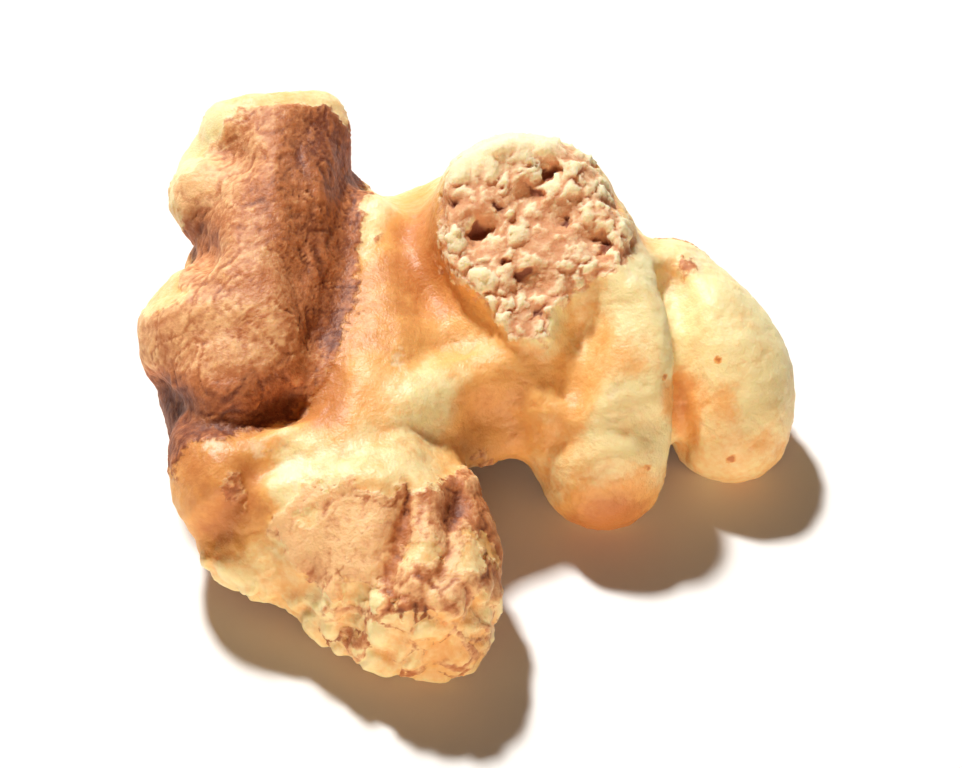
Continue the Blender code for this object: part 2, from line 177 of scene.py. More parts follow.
# Scuffs on the flesh, pale and rough: middle and radius. The small one on the inner finger, at (6.9, 0.7), is a
# painted highlight.
SCUFFS_AND_GLINT = [
    (-5.3, 7.4, 0.7), (-4.6, 9.4, 0.6), (6.9, 0.7, 0.4), (7.6, 6.1, 0.5), (-8.2, -2.8, 0.9),
    (-6.8, -3.2, 0.6), (-11.8, -1.7, 0.6), (-9.8, -1.9, 0.5), (-3.4, 2.2, 0.5), (9.6, 5.6, 0.8),
    (11.0, 7.0, 0.7),
]
# Flecks of brown on the fingers: middle and radius.
FLECKS = [(8.4, -2.9, 0.10), (6.9, -4.8, 0.12), (12.4, -2.5, 0.14), (11.8, 2.2, 0.09), (9.2, 1.4, 0.08)]

# Studio, in metres: how far off the lamps stand, half the floor's width, and how far the view's middle is
# from the piece's.
LAMP_DISTANCE = 1.2
FLOOR_REACH = 1.5
VIEW_SHIFT = Vector((0.0006, -0.0006, -0.0004))


def linear(colour):
    """An sRGB hex colour as linear red, green and blue, and full alpha."""
    parts = [int(colour[i : i + 2], 16) / 255 for i in (1, 3, 5)]
    return (*(c / 12.92 if c <= 0.04045 else ((c + 0.055) / 1.055) ** 2.4 for c in parts), 1.0)


class KernelSizes(bpy.types.PropertyGroup):
    mesh_size: bpy.props.FloatProperty(
        name="Mesh size", description="Spacing of the fine surface", default=0.00017, unit="LENGTH",
        precision=5,
    )
    skin_thickness: bpy.props.FloatProperty(
        name="Skin thickness", description="Step where the skin ends", default=0.00010, unit="LENGTH",
        precision=5,
    )
    wrinkle_depth: bpy.props.FloatProperty(
        name="Wrinkle depth", description="Depth of the skin's fine wrinkles", default=0.00007, unit="LENGTH",
        precision=5,
    )
    crumb_height: bpy.props.FloatProperty(
        name="Crumb height", description="Height of crumbs on the break", default=0.00054, unit="LENGTH",
        precision=5,
    )
    pit_depth: bpy.props.FloatProperty(
        name="Pit depth", description="Depth of the pits in the break", default=0.00022, unit="LENGTH",
        precision=5,
    )


class KernelColours(bpy.types.PropertyGroup):
    flesh: bpy.props.FloatVectorProperty(
        name="Flesh", description="Bare kernel where it is palest", default=linear("#FFE9B0"),
        subtype="COLOR", size=4,
    )
    flesh_gold: bpy.props.FloatVectorProperty(
        name="Golden flesh", description="Bare kernel on its slopes", default=linear("#F3B66A"),
        subtype="COLOR", size=4,
    )
    # The deepest flesh colour goes on the flesh's own orange patches and also serves as painted shade in
    # hollows and on shaded places such as the inner finger's tip.
    flesh_deep: bpy.props.FloatVectorProperty(
        name="Flesh in hollows", description="Bare kernel in its dips", default=linear("#CF8446"),
        subtype="COLOR", size=4,
    )
    skin_thin: bpy.props.FloatVectorProperty(
        name="Worn skin", description="Seed skin worn thin", default=linear("#FACB93"), subtype="COLOR",
        size=4,
    )
    skin: bpy.props.FloatVectorProperty(
        name="Skin", description="Seed skin", default=linear("#C67C4A"), subtype="COLOR", size=4
    )
    # Also used as painted shade, in fine hollows of the skin and on the wall's dark right flank.
    skin_dark: bpy.props.FloatVectorProperty(
        name="Dark skin", description="Thick seed skin and its veins", default=linear("#7A3B1B"),
        subtype="COLOR", size=4,
    )
    broken: bpy.props.FloatVectorProperty(
        name="Broken flesh", description="Dry crumbly break", default=linear("#FFE8BC"), subtype="COLOR",
        size=4,
    )
    break_ground: bpy.props.FloatVectorProperty(
        name="Between grains", description="Ground between grains of the break", default=linear("#DE9F70"),
        subtype="COLOR", size=4
    )
    # The pits' own brown, deepened as painted shade at their bottoms.
    pit: bpy.props.FloatVectorProperty(
        name="Pits", description="Bottoms of the pits in the break", default=linear("#96553A"),
        subtype="COLOR", size=4,
    )


class StudioSettings(bpy.types.PropertyGroup):
    camera_height: bpy.props.FloatProperty(
        name="Camera height", description="Angle of the camera above the floor", default=math.radians(50),
        subtype="ANGLE",
    )
    camera_distance: bpy.props.FloatProperty(
        name="Camera distance", description="From the camera to the piece", default=0.27, unit="LENGTH"
    )
    view_width: bpy.props.FloatProperty(
        name="View width", description="Width of the view at the piece", default=0.046, unit="LENGTH"
    )
    floor_colour: bpy.props.FloatVectorProperty(
        name="Floor", description="Matt paper under the piece", default=linear("#F7F5F1"), subtype="COLOR",
        size=4,
    )
    key_power: bpy.props.FloatProperty(
        name="Key light", description="Power of the main lamp", default=20.5, unit="POWER"
    )
    front_power: bpy.props.FloatProperty(
        name="Front light", description="Power of the low lamp in front", default=14.5, unit="POWER"
    )
    front_colour: bpy.props.FloatVectorProperty(
        name="Front colour", description="Warm colour of the low lamp", default=linear("#FFE4C8"),
        subtype="COLOR", size=4,
    )
    fill_power: bpy.props.FloatProperty(
        name="Fill", description="Strength of the light all round", default=0.06
    )
    fill_colour: bpy.props.FloatVectorProperty(
        name="Fill colour", description="Warm colour of the light all round", default=linear("#FFDDBF"),
        subtype="COLOR", size=4,
    )


def face_axes():
    """Right, up and outward directions of the kernel's broad face."""
    lean = Matrix.Rotation(FACE_LEAN, 3, "X")
    return [np.array(lean @ Vector(axis)) for axis in ((1, 0, 0), (0, 1, 0), (0, 0, 1))]


def fine_copy(node, size):
    """A closed, even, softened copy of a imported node."""
    bm = bmesh.new()
    bm.from_mesh(node.data)
    bmesh.ops.remove_doubles(bm, verts=bm.verts, dist=size / 100)
    mesh = bpy.data.meshes.new("kernel")
    bm.to_mesh(mesh)
    bm.free()
    obj = bpy.data.objects.new("kernel", mesh)
    bpy.context.scene.collection.objects.link(obj)
    even = obj.modifiers.new("even", "REMESH")
    even.mode = "VOXEL"
    even.voxel_size = size
    soften = obj.modifiers.new("soften", "SMOOTH")
    soften.factor = 0.5
    soften.iterations = 10
    result = bpy.data.meshes.new_from_object(obj.evaluated_get(bpy.context.evaluated_depsgraph_get()))
    bpy.data.objects.remove(obj)
    bpy.data.meshes.remove(mesh)
    return result


class Surface:
    """The fine mesh as arrays: places, normals and places on the face, in units."""

    def __init__(self, mesh):
        self.mesh = mesh
        count = len(mesh.vertices)
        self.places = np.empty(count * 3, np.float64)
        mesh.vertices.foreach_get("co", self.places)
        self.places = self.places.reshape(-1, 3)
        edges = np.empty(len(mesh.edges) * 2, np.int32)
        mesh.edges.foreach_get("vertices", edges)
        self.edges = edges.reshape(-1, 2)
        self.neighbours = np.bincount(self.edges.ravel(), minlength=count)
        self.refresh()

    def refresh(self):
        """Brings normals and face places up to date with the places."""
        self.mesh.vertices.foreach_set("co", self.places.ravel())
        self.mesh.update()
        normals = np.empty(len(self.places) * 3, np.float32)
        self.mesh.vertices.foreach_get("normal", normals)
        self.normals = normals.reshape(-1, 3).astype(np.float64)
        right, up, out = face_axes()
        offset = (self.places - np.array(FACE_START)) / UNIT
        self.x = offset @ right
        self.y = offset @ up
        self.h = offset @ out
        self.facing = self.normals @ out

    def spread(self, values, passes):
        """The values, each time averaged with the neighbours'."""
        flat = values.reshape(len(self.places), -1).copy()
        first, second = self.edges.T
        for _ in range(passes):
            for k in range(flat.shape[1]):
                total = np.bincount(first, flat[second, k], len(flat))
                total = total + np.bincount(second, flat[first, k], len(flat))
                flat[:, k] = 0.5 * flat[:, k] + 0.5 * total / self.neighbours
        return flat.reshape(values.shape)

    def push(self, amounts):
        """Moves the surface outwards by these amounts, in metres."""
        self.places += self.normals * amounts[:, None]
        self.refresh()


def stretch_distance(x, y, start, end):
    """How far each point lies from the straight stretch between start and end."""
    (x1, y1), (x2, y2) = start, end
    along = ((x - x1) * (x2 - x1) + (y - y1) * (y2 - y1)) / ((x2 - x1) ** 2 + (y2 - y1) ** 2)
    along = np.clip(along, 0, 1)
    return np.hypot(x - x1 - along * (x2 - x1), y - y1 - along * (y2 - y1))


def inside_by(x, y, outline):
    """How far each point lies inside the outline, under nothing outside it."""
    nearest = np.full(len(x), np.inf)
    inside = np.zeros(len(x), bool)
    for (x1, y1), (x2, y2) in zip(outline, outline[1:] + outline[:1]):
        nearest = np.minimum(nearest, stretch_distance(x, y, (x1, y1), (x2, y2)))
        crosses = (y1 > y) != (y2 > y)
        reach = x1 + (y - y1) * (x2 - x1) / (y2 - y1 if y1 != y2 else 1)
        inside ^= crosses & (x < reach)
    return np.where(inside, nearest, -nearest)


def smooth_step(values, start, end):
    """0 up to the start, 1 from the end on, and a smooth slope between them."""
    t = np.clip((values - start) / (end - start), 0, 1)
    return t * t * (3 - 2 * t)


def noise_at(points, seed=0.0):
    """Smooth noise from -1 to 1 at each point."""
    shift = Vector((seed * 17.3, seed * 5.1, seed * 9.7))
    return np.array([noise.noise(Vector(p) + shift) for p in points])


def grains_at(points, seed=0.0):
    """How far each point is from the edge of its grain, and that grain's own chance number from 0 to 1."""
    shift = Vector((seed * 3.1, seed * 7.9, seed * 1.3))
    found = [noise.voronoi(Vector(p) + shift) for p in points]
    inward = np.array([distances[1] - distances[0] for distances, centres in found])
    middles = np.array([tuple(centres[0]) for distances, centres in found])
    chance = np.sin(middles @ np.array([12.9898, 78.233, 37.719])) * 43758.5453
    return inward, chance - np.floor(chance)


def line_distance(x, y, route):
    """How far each point lies from a route of straight stretches."""
    nearest = np.full(len(x), np.inf)
    for start, end in zip(route, route[1:]):
        nearest = np.minimum(nearest, stretch_distance(x, y, start, end))
    return nearest


def stain_and_shading_depth(x, y, stains_and_shading, base):
    """Colour depth at each point: each listed patch's own near it, real tints and painted light and shade
    alike, and the base's far from all.
    """
    total = np.full(len(x), 0.03 * base)
    weights = np.full(len(x), 0.03)
    for middle_x, middle_y, reach, depth in stains_and_shading:
        weight = np.exp(-(((x - middle_x) ** 2 + (y - middle_y) ** 2) / reach**2))
        total += weight * depth
        weights += weight
    return total / weights


def skin_edge(surface, soft_facing, place):
    """How far inside the skin each point lies, in units, with a ragged edge."""
    seen = soft_facing > -0.1
    wall = inside_by(surface.x, surface.y, WALL_SKIN)
    front = inside_by(surface.x, surface.y, FRONT_SKIN)
    torn = 0.6 * (WALL_END + 0.05 + WALL_SLOPE * (surface.x - WALL_MIDDLE) - surface.y)
    wall = np.where(seen | (surface.x < WALL_RIGHT), np.minimum(wall, torn), FAR_OUTSIDE)
    front = np.where(seen | (surface.x > FRONT_SIDE), front, FAR_OUTSIDE)
    hidden = (-0.38 - soft_facing + 0.5 * noise_at(place * 0.17, 53)) * 4
    scraps = np.max([r - np.hypot(surface.x - x, surface.y - y) for x, y, r in SKIN_SCRAPS], axis=0)
    scraps = np.where(seen, scraps, FAR_OUTSIDE)
    gaps = np.min([np.hypot(surface.x - x, surface.y - y) - r for x, y, r in SKIN_GAPS], axis=0)
    front = np.minimum(front, gaps)
    ragged = 0.5 * noise_at(place * 0.9, 1) + 0.3 * noise_at(place * 2.4, 2) + 0.16 * noise_at(place * 6, 3)
    ragged *= 1 + 0.8 * (surface.y < FRONT_TOP)
    return np.maximum.reduce([wall, front, hidden, scraps - 0.3]) + ragged


def wrinkles(surface, place):
    """Fine wrinkles of the skin: across the wall at a slant, and down the front lobe like a fan."""
    wobble = 0.5 * noise_at(place * 0.6, 5)
    relief = np.zeros(len(place))
    layers = ((30, 0.6, 1.5, 0.5), (44, 1.3, 3.1, 0.32), (20, 2.8, 5.2, 0.2))
    for slant, along_scale, across_scale, height in layers:
        turn = math.radians(slant)
        along = surface.x * math.cos(turn) + surface.y * math.sin(turn)
        across = -surface.x * math.sin(turn) + surface.y * math.cos(turn) + wobble
        stretched = np.stack([along * along_scale, across * across_scale, surface.h * along_scale], 1)
        layer = noise_at(stretched, slant)
        relief += height * (1 - 3.2 * np.abs(layer))
    fan_x, fan_y = FAN_START
    spread = np.arctan2(surface.x - fan_x, fan_y - surface.y) * FAN_DENSITY
    far = np.hypot(surface.x - fan_x, surface.y - fan_y)
    fan = noise_at(np.stack([spread + wobble, far * 0.6, surface.h * 0.3], 1), 7)
    fan = 0.6 * (1 - 3.2 * np.abs(fan)) + 0.4 * noise_at(place * 3.4, 9)
    under = 0.7 * (1 - 3.0 * np.abs(noise_at(place * np.array([1.3, 0.7, 1.3]) + wobble[:, None], 8)))
    under += 0.3 * noise_at(place * 3.0, 27)
    # Down the wall's right side the wrinkles turn to long streaks.
    streaks = np.stack([surface.x * 2.4 + wobble, surface.y * 0.45, surface.h * 1.6], 1)
    streaks = 0.9 * noise_at(streaks, 51) + 0.5 * (1 - 3.2 * np.abs(noise_at(streaks * 1.9, 52)))
    flank = smooth_step(surface.x, -8.9, -7.7) * smooth_step(surface.y, 1.0, 2.5)
    relief += flank * (streaks - 0.75 * relief)
    relief = np.where(surface.y < FRONT_TOP, fan, relief)
    relief = np.where(surface.facing < -0.1, under, relief)
    return relief * (0.75 + 0.9 * noise_at(place * 0.5, 28))


def break_relief(surface, place, broken):
    """The broken end's grains, from 0 at the ground between them to 1, and its pits, from 0 to 1."""
    warp_x = surface.x + 0.30 * noise_at(place * 1.6, 20) + 0.14 * noise_at(place * 4.5, 21)
    warp_y = surface.y + 0.30 * noise_at(place * 1.6, 22) + 0.14 * noise_at(place * 4.5, 23)
    warped = np.stack([warp_x, warp_y, 0.5 * surface.h], 1)
    coarse, coarse_chance = grains_at(warped * 1.0, 14)
    small, small_chance = grains_at(warped * 2.4, 15)
    grains = 0.62 * smooth_step(coarse, 0.0, 0.40) * (0.25 + 0.75 * coarse_chance)
    grains += 0.38 * smooth_step(small, 0.0, 0.45) * small_chance
    bare = [np.exp(-((surface.x - x) ** 2 + (surface.y - y) ** 2) / reach**2) for x, y, reach in BREAK_BARE]
    grains *= 1 - 0.35 * np.max(bare, axis=0)
    # The upper left of the break is smoother, where it came away clean.
    clean = smooth_step(surface.y - 0.35 * surface.x, 10.0, 12.0)
    grains = grains * (1 - 0.7 * clean) + (0.5 + 0.10 * noise_at(place * 1.7, 55)) * clean
    depth = np.full(len(surface.x), -1.0)
    for x, y, radius, stretch, turn in BREAK_PITS:
        along = (warp_x - x) * math.cos(turn) + (warp_y - y) * math.sin(turn)
        across = (warp_y - y) * math.cos(turn) - (warp_x - x) * math.sin(turn)
        depth = np.maximum(depth, 1 - np.hypot(along / stretch, across) / radius)
    pits = smooth_step(depth + 0.25 * noise_at(place * 2.8, 16), -0.2, 0.9)
    return grains, pits * smooth_step(broken, 0.1, 0.5)


def knobs_at(surface, place):
    """The front rim's rounded knobs: their swell from 0, in the grooves, to 1, and where the rim is, to 1."""
    rim = smooth_step(-surface.y, 7.8, 9.0)
    rim = np.maximum(rim, 0.5 * smooth_step(-surface.x, 8.4, 9.6) * smooth_step(-surface.y, 5.2, 6.4))
    wavy = place + 0.7 * np.stack([noise_at(place * 0.8, k) for k in (45, 46, 47)], 1)
    inward, chance = grains_at(wavy * 0.60, 48)
    return smooth_step(inward, -0.05, 0.55) * (0.65 + 0.35 * chance), rim


def tear_wall(surface):
    """Takes the wall's far end down to a ragged, nearly flat tear."""
    place = surface.places / UNIT
    line = WALL_END + WALL_SLOPE * (surface.x - WALL_MIDDLE)
    line = line + 0.2 * noise_at(place * 1.1, 30) + 0.06 * noise_at(place * 4, 31)
    over = np.where(surface.x < WALL_RIGHT, np.maximum(surface.y - line, 0), 0)
    surface.places -= over[:, None] * UNIT * face_axes()[1]
    surface.refresh()


def carve(surface, sizes):
    """Carves the fine relief and returns what the materials read, by name."""
    tear_wall(surface)
    place = surface.places / UNIT
    soft = surface.spread(surface.normals, 30)
    soft /= np.linalg.norm(soft, axis=1)[:, None]
    soft_facing = soft @ face_axes()[2]
    knobs, rim = knobs_at(surface, place)
    edge = skin_edge(surface, soft_facing, place)
    # At the front the skin has worn off the rim's knobs and stays in the grooves between them.
    grooves = smooth_step(-surface.y, 8.2, 9.4) * (surface.x > -7.5)
    edge = np.maximum(edge, 0.2 - 2.4 * knobs - 2 * (1 - grooves) + 0.6 * noise_at(place * 0.7, 49))
    skin = smooth_step(edge, -0.12, 0.12)
    broken = inside_by(surface.x, surface.y, BREAK_OUTLINE)
    broken += 0.45 * noise_at(place * 0.9, 50) + 0.30 * noise_at(place * 2.2, 11)
    broken = np.where((surface.facing > 0.1) & (surface.h > -4), broken, FAR_OUTSIDE)
    is_broken = smooth_step(broken, -0.1, 0.25)
    skin *= 1 - is_broken

    crease = wrinkles(surface, place)
    swell = 0.08 * noise_at(place * 0.6, 12) + 0.045 * noise_at(place * 1.4, 13)
    swell = swell + 0.022 * noise_at(place * 2.6, 17)
    swell += 0.012 * (1 - 3 * np.abs(noise_at(place * 2.0, 56)))
    swell -= 0.035 * smooth_step(0.05 - np.abs(noise_at(place * 0.75, 36)), -0.03, 0.04)
    grains, pits = break_relief(surface, place, broken)
    # Scuff marks: pale, rough dents in the flesh; the one on the inner finger is a painted highlight.
    scuffs_and_glint = np.max([r - np.hypot(surface.x - x, surface.y - y) for x, y, r in SCUFFS_AND_GLINT], axis=0)
    scuffs_and_glint += 0.35 * noise_at(place * 1.8, 33) + 0.55 * noise_at(place * 4.0, 34) - 0.15
    scuffed_and_glint = smooth_step(scuffs_and_glint, -0.05, 0.12) * (1 - skin) * (1 - is_broken)
    lumps = 0.42 * rim * (knobs - 0.5)
    fullness = np.zeros(len(edge))
    for x, y, reach, height in FULLER:
        fullness += height * np.exp(-((surface.x - x) ** 2 + (surface.y - y) ** 2) / reach**2)
    fullness *= smooth_step(soft_facing, -0.6, 0.0)
    lip = np.exp(-((edge / 0.3) ** 2)) * (1 - is_broken)
    veins = np.zeros(len(edge))
    vein_tint = np.zeros(len(edge))
    wander_x = surface.x + 0.25 * noise_at(place * 1.3, 18)
    wander_y = surface.y + 0.25 * noise_at(place * 1.3, 19)
    for route, half_width, depth in VEINS:
        width = half_width * (1 + 0.8 * noise_at(place * 0.9, 38))
        nearness = np.exp(-((line_distance(wander_x, wander_y, route) / width) ** 2))
        nearness = np.where(soft_facing > -0.2, nearness, 0)
        veins += nearness * depth * UNIT
        vein_tint = np.maximum(vein_tint, nearness)

    wandering = place + 0.5 * np.stack([noise_at(place * 0.8, k) for k in (39, 40, 41)], 1)
    net = smooth_step(0.035 - np.abs(noise_at(wandering * 0.45, 42)), -0.02, 0.02)
    net = np.maximum(net, 0.6 * smooth_step(0.03 - np.abs(noise_at(wandering * 0.95, 43)), -0.02, 0.02))

    # The soles stay flat, so the relief fades out close to the floor.
    grounded = smooth_step(place[:, 2] - LOW[2] / UNIT, 0.05, 0.6)
    surface.push(grounded * (
        skin * (sizes.skin_thickness + sizes.wrinkle_depth * (crease - 0.5 * net))
        + 0.3 * sizes.skin_thickness * lip
        - veins
        + (1 - is_broken) * swell * UNIT
        - scuffed_and_glint * (0.5 * sizes.skin_thickness + 0.04 * UNIT * noise_at(place * 5, 37))
        + lumps * UNIT
        + fullness * UNIT
        + is_broken * sizes.crumb_height * (grains - 0.4)
        - pits * sizes.pit_depth
    ))
    surface.places[:, 2] = np.maximum(surface.places[:, 2], LOW[2])
    surface.refresh()
    # Hollows, large and fine, used only for colour: the flesh is deepened and the skin darkened in them as
    # painted shade.
    hollow_shade = ((surface.spread(surface.places, 60) - surface.places) * surface.normals).sum(1) / UNIT
    fine_hollow_shade = ((surface.spread(surface.places, 4) - surface.places) * surface.normals).sum(1) / UNIT

    seen = smooth_step(soft_facing, -0.45, 0.0)
    flesh_depth = 0.35 + seen * (stain_and_shading_depth(surface.x, surface.y, FLESH_STAINS_LIGHT_AND_SHADE, 0.3) - 0.35)
    # Deeper flesh colour in hollows: painted shade.
    flesh_depth += 0.8 * hollow_shade + 0.10 * noise_at(place * 0.9, 24)
    # Under the piece the skin is thin near its edge and darker further in.
    below = 0.12 + 0.45 * smooth_step(edge, 0.2, 2.6) + 0.35 * noise_at(place * 0.3, 54)
    skin_depth = below + seen * (stain_and_shading_depth(surface.x, surface.y, SKIN_STAINS_LIGHT_AND_SHADE, 0.5) - below)
    mottled = 0.13 + 0.10 * (surface.y < FRONT_TOP)
    # Darker along the veins and their net, the skin's own colour. It is also lighter on the wrinkles' ridges
    # and darker in their grooves: painted highlight and painted shade.
    skin_depth += mottled * noise_at(place * 0.8, 25) + 0.36 * vein_tint - 0.10 * crease + 0.16 * net
    blotch = 0.14 * noise_at(place * 3.2, 44)
    for x, y, radius in FLECKS:
        fleck = smooth_step(radius + blotch - np.hypot(surface.x - x, surface.y - y), -0.10, 0.04)
        flesh_depth = np.maximum(flesh_depth, 1.6 * fleck * (seen > 0.5))
    return {
        "skin_edge": edge,
        "skin_depth": skin_depth,
        "flesh_depth": flesh_depth,
        "break_edge": broken,
        "grains": grains,
        "pits": pits,
        "scuffed_and_glint": scuffed_and_glint,
        "fine_hollow_shade": fine_hollow_shade,
    }


def add_node(tree, kind, settings=None, links=None, output=0):
    """Adds a node, gives it its settings and values, links its inputs and returns one of its outputs."""
    node = tree.nodes.new(kind)
    for name, value in (settings or {}).items():
        if isinstance(name, str) and hasattr(node, name):
            setattr(node, name, value)
        else:
            node.inputs[name].default_value = value
    for name, source in (links or {}).items():
        tree.links.new(source, node.inputs[name])
    return node.outputs[output] if len(node.outputs) else None


def kernel_material(colours):
    """Walnut kernel: oily, slightly translucent flesh under thin papery skin, dry and crumbly where broken."""
    material = bpy.data.materials.new("walnut kernel, skin and flesh")
    material.use_nodes = True
    tree = material.node_tree
    tree.nodes.clear()
    maths, mix, ease = "ShaderNodeMath", "ShaderNodeMix", "ShaderNodeMapRange"
    carved = {
        name: add_node(tree, "ShaderNodeAttribute", {"attribute_name": name}, output="Fac")
        for name in (
            "skin_edge", "skin_depth", "flesh_depth", "break_edge", "grains", "pits", "scuffed_and_glint", "fine_hollow_shade"
        )
    }
    place = add_node(tree, "ShaderNodeTexCoord", output="Object")
    # Mottling of about 1.5 mm, speckle of about 0.3 mm and grain of about 0.12 mm.
    mottle = add_node(tree, "ShaderNodeTexNoise", {"Scale": 650, "Detail": 3}, {"Vector": place})
    speckle = add_node(tree, "ShaderNodeTexNoise", {"Scale": 3300, "Detail": 4}, {"Vector": place})
    grain = add_node(tree, "ShaderNodeTexNoise", {"Scale": 8000, "Detail": 2}, {"Vector": place})
    smooth = {"interpolation_type": "SMOOTHSTEP"}

    ragged = add_node(
        tree, maths, {"operation": "MULTIPLY_ADD", 1: 0.6}, {0: speckle, 2: carved["skin_edge"]}
    )
    skin = add_node(tree, ease, {**smooth, "From Min": 0.16, "From Max": 0.44}, {"Value": ragged})
    ragged = add_node(
        tree, maths, {"operation": "MULTIPLY_ADD", 1: 0.9}, {0: speckle, 2: carved["break_edge"]}
    )
    broken = add_node(tree, ease, {**smooth, "From Min": 0.35, "From Max": 0.65}, {"Value": ragged})

    # Flesh colour by depth: its own golden tones, with painted light and shade from the stain list and the
    # hollows.
    depth = add_node(
        tree, maths, {"operation": "MULTIPLY_ADD", 1: 0.7}, {0: mottle, 2: carved["flesh_depth"]}
    )
    depth = add_node(tree, maths, {"operation": "MULTIPLY_ADD", 1: 0.4}, {0: speckle, 2: depth})
    gold = add_node(tree, ease, {**smooth, "From Min": 0.48, "From Max": 1.08}, {"Value": depth})
    deep = add_node(tree, ease, {**smooth, "From Min": 1.00, "From Max": 1.75}, {"Value": depth})
    flesh = add_node(tree, mix, {"data_type": "RGBA", 6: colours.flesh, 7: colours.flesh_gold}, {0: gold}, 2)
    flesh = add_node(tree, mix, {"data_type": "RGBA", 7: colours.flesh_deep}, {0: deep, 6: flesh}, 2)
    # Scuff marks on the flesh turn pale; the one on the inner finger is a painted highlight.
    scuffed_and_glint = add_node(tree, maths, {"operation": "MULTIPLY", 1: 0.55}, {0: carved["scuffed_and_glint"]})
    flesh = add_node(tree, mix, {"data_type": "RGBA", 7: colours.broken}, {0: scuffed_and_glint, 6: flesh}, 2)

    # Skin colour by depth: its own tints, wear and veins, with painted shade from the stain list, the wrinkles'
    # grooves and fine hollows.
    depth = add_node(tree, maths, {"operation": "MULTIPLY_ADD", 1: 0.5}, {0: mottle, 2: carved["skin_depth"]})
    depth = add_node(tree, maths, {"operation": "MULTIPLY_ADD", 1: 0.5}, {0: speckle, 2: depth})
    # Darker skin in fine hollows and creases: painted shade.
    depth = add_node(tree, maths, {"operation": "MULTIPLY_ADD", 1: 5.0}, {0: carved["fine_hollow_shade"], 2: depth})
    brown = add_node(tree, ease, {**smooth, "From Min": 0.45, "From Max": 1.05}, {"Value": depth})
    dark = add_node(tree, ease, {**smooth, "From Min": 0.90, "From Max": 1.60}, {"Value": depth})
    papery = add_node(tree, mix, {"data_type": "RGBA", 6: colours.skin_thin, 7: colours.skin}, {0: brown}, 2)
    papery = add_node(tree, mix, {"data_type": "RGBA", 7: colours.skin_dark}, {0: dark, 6: papery}, 2)

    height = add_node(tree, maths, {"operation": "MULTIPLY_ADD", 1: 0.5}, {0: speckle, 2: carved["grains"]})
    height = add_node(tree, maths, {"operation": "MULTIPLY_ADD", 1: -0.6}, {0: carved["pits"], 2: height})
    raised = add_node(tree, ease, {**smooth, "From Min": 0.25, "From Max": 0.70}, {"Value": height})
    shades = {"data_type": "RGBA", 6: colours.break_ground, 7: colours.broken}
    crumbly = add_node(tree, mix, shades, {0: raised}, 2)
    # Pit bottoms turn dark brown: the pits' own colour, deepened as painted shade.
    pitted = add_node(tree, ease, {**smooth, "From Min": 0.30, "From Max": 0.85}, {"Value": carved["pits"]})
    crumbly = add_node(tree, mix, {"data_type": "RGBA", 7: colours.pit}, {0: pitted, 6: crumbly}, 2)

    colour = add_node(tree, mix, {"data_type": "RGBA"}, {0: skin, 6: flesh, 7: papery}, 2)
    colour = add_node(tree, mix, {"data_type": "RGBA"}, {0: broken, 6: colour, 7: crumbly}, 2)

    dry = add_node(tree, maths, {"operation": "MAXIMUM"}, {0: skin, 1: broken})
    rough = add_node(tree, maths, {"operation": "MULTIPLY_ADD", 1: 0.09, 2: 0.37}, {0: dry})
    rough = add_node(tree, maths, {"operation": "MULTIPLY_ADD", 1: 0.20}, {0: broken, 2: rough})
    rough = add_node(tree, maths, {"operation": "MULTIPLY_ADD", 1: 0.22}, {0: speckle, 2: rough})
    coarseness = add_node(tree, maths, {"operation": "MULTIPLY_ADD", 1: 0.30, 2: 0.70}, {0: dry})
    relief = add_node(tree, maths, {"operation": "MULTIPLY_ADD", 1: 0.6}, {0: grain, 2: speckle})
    relief = add_node(tree, maths, {"operation": "MULTIPLY"}, {0: relief, 1: coarseness})
    bump = add_node(tree, "ShaderNodeBump", {"Strength": 0.6, "Distance": 0.00012}, {"Height": relief})
    shader = add_node(
        tree, "ShaderNodeBsdfPrincipled",
        {
            "IOR": 1.47, "Subsurface Weight": 0.5, "Subsurface Scale": 0.0009,
            "Subsurface Radius": (1.0, 0.60, 0.34),
        },
        {"Base Color": colour, "Roughness": rough, "Normal": bump},
    )
    add_node(tree, "ShaderNodeOutputMaterial", links={"Surface": shader})
    return material


def paper_material(colour):
    """Matt white paper: no gloss, so that the shadow alone shows on it."""
    material = bpy.data.materials.new("matt white paper")
    material.use_nodes = True
    surface = material.node_tree.nodes["Principled BSDF"]
    surface.inputs["Base Color"].default_value = colour
    surface.inputs["Roughness"].default_value = 0.95
    surface.inputs["Specular IOR Level"].default_value = 0.1
    return material


def lamp(name, power, colour, size, place, target):
    """Adds a square soft lamp that looks at the target."""
    light = bpy.data.lights.new(name, "AREA")
    light.energy = power
    light.color = colour[:3]
    light.size = size
    obj = bpy.data.objects.new(name, light)
    obj.location = place
    obj.rotation_euler = (target - place).to_track_quat("-Z", "Y").to_euler()
    bpy.context.scene.collection.objects.link(obj)


class OBJECT_OT_walnut_kernel(bpy.types.Operator):
    """Make the fine surface of the kernel piece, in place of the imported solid"""

    bl_idname = "object.walnut_kernel"
    bl_label = "Walnut Kernel"

    def execute(self, context):
        sizes = context.scene.walnut_sizes
        mesh = fine_copy(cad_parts[NODE], sizes.mesh_size)
        surface = Surface(mesh)
        for name, values in carve(surface, sizes).items():
            layer = mesh.attributes.new(name, "FLOAT", "POINT")
            layer.data.foreach_set("value", values.astype(np.float32))
        mesh.shade_smooth()
        mesh.materials.clear()
        mesh.materials.append(kernel_material(context.scene.walnut_colours))
        kernel = bpy.data.objects.new("kernel_surface", mesh)
        context.scene.collection.objects.link(kernel)
        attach(kernel, "root")
        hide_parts(NODE)
        return {"FINISHED"}


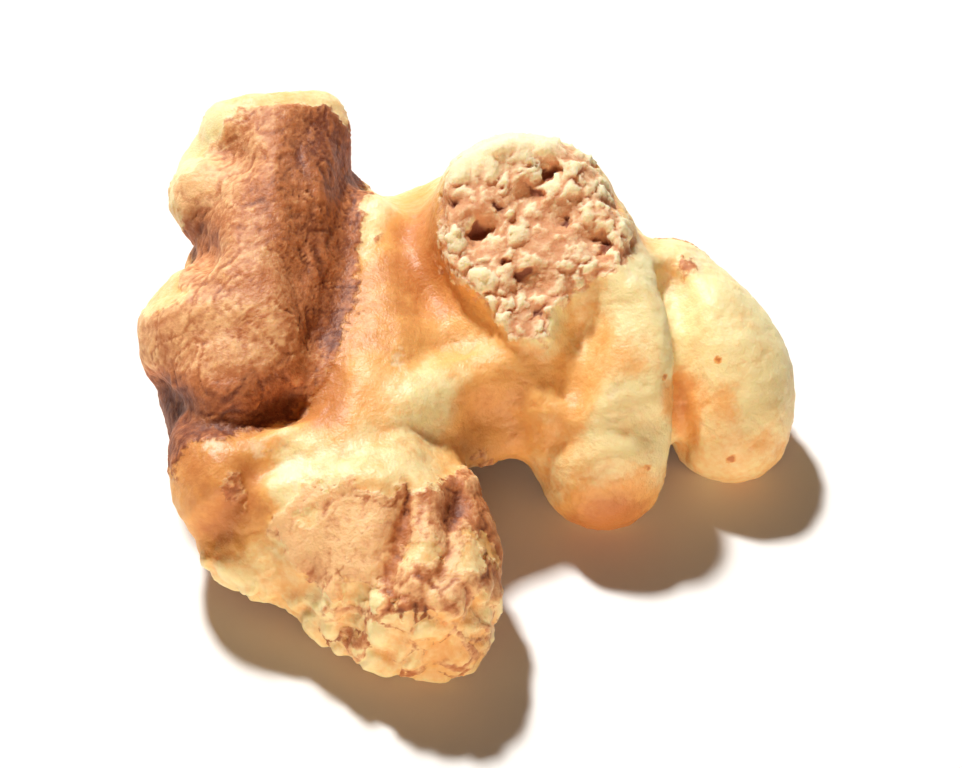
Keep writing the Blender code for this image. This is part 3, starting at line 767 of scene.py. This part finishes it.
class OBJECT_OT_walnut_studio(bpy.types.Operator):
    """Make the floor, the lamps and the camera"""

    bl_idname = "object.walnut_studio"
    bl_label = "Studio"

    def execute(self, context):
        studio = context.scene.walnut_studio
        low, high = (Vector(corner) for corner in CAD_BOUNDS)
        middle = (low + high) / 2

        bm = bmesh.new()
        bmesh.ops.create_grid(bm, x_segments=1, y_segments=1, size=FLOOR_REACH)
        bmesh.ops.translate(bm, verts=bm.verts, vec=(0, 0, low.z))
        mesh = bpy.data.meshes.new("floor")
        bm.to_mesh(mesh)
        bm.free()
        mesh.materials.append(paper_material(studio.floor_colour))
        floor = bpy.data.objects.new("floor", mesh)
        context.scene.collection.objects.link(floor)

        for name, turn, height, size, power, colour in (
            ("key lamp", -24, 51, 0.11, studio.key_power, linear("#FFFFFF")),
            ("front lamp", 176, 2.5, 0.5, studio.front_power, studio.front_colour),
        ):
            level = math.cos(math.radians(height))
            across = math.sin(math.radians(turn)) * level
            behind = math.cos(math.radians(turn)) * level
            towards = Vector((across, behind, math.sin(math.radians(height))))
            lamp(name, power, colour, size, middle + towards * LAMP_DISTANCE, middle)

        world = bpy.data.worlds.new("white room")
        world.use_nodes = True
        background = world.node_tree.nodes["Background"]
        background.inputs["Color"].default_value = studio.fill_colour
        background.inputs["Strength"].default_value = studio.fill_power
        context.scene.world = world
        context.scene.view_settings.view_transform = "Standard"

        camera = bpy.data.objects.new("camera", bpy.data.cameras.new("camera"))
        camera.data.sensor_width = 36
        camera.data.lens = camera.data.sensor_width * studio.camera_distance / studio.view_width
        back = Vector((0, -math.cos(studio.camera_height), math.sin(studio.camera_height)))
        target = middle + VIEW_SHIFT
        camera.location = target + back * studio.camera_distance
        camera.rotation_euler = (-back).to_track_quat("-Z", "Y").to_euler()
        camera.data.clip_start = 0.01
        context.scene.collection.objects.link(camera)
        context.scene.camera = camera
        return {"FINISHED"}


class VIEW3D_PT_walnut(bpy.types.Panel):
    bl_label = "Walnut Kernel Piece"
    bl_space_type = "VIEW_3D"
    bl_region_type = "UI"
    bl_category = "Walnut"

    def draw(self, context):
        for group in ("walnut_sizes", "walnut_colours", "walnut_studio"):
            box = self.layout.box()
            settings = getattr(context.scene, group)
            for name in settings.bl_rna.properties.keys():
                if name not in ("rna_type", "name"):
                    box.prop(settings, name)
        self.layout.operator("object.walnut_kernel")
        self.layout.operator("object.walnut_studio")


CLASSES = (
    KernelSizes,
    KernelColours,
    StudioSettings,
    OBJECT_OT_walnut_kernel,
    OBJECT_OT_walnut_studio,
    VIEW3D_PT_walnut,
)


def register():
    for cls in CLASSES:
        bpy.utils.register_class(cls)
    bpy.types.Scene.walnut_sizes = bpy.props.PointerProperty(type=KernelSizes)
    bpy.types.Scene.walnut_colours = bpy.props.PointerProperty(type=KernelColours)
    bpy.types.Scene.walnut_studio = bpy.props.PointerProperty(type=StudioSettings)


def unregister():
    del bpy.types.Scene.walnut_studio
    del bpy.types.Scene.walnut_colours
    del bpy.types.Scene.walnut_sizes
    for cls in reversed(CLASSES):
        bpy.utils.unregister_class(cls)


def main():
    register()
    bpy.ops.object.walnut_kernel()
    bpy.ops.object.walnut_studio()


if __name__ == "__main__":
    main()
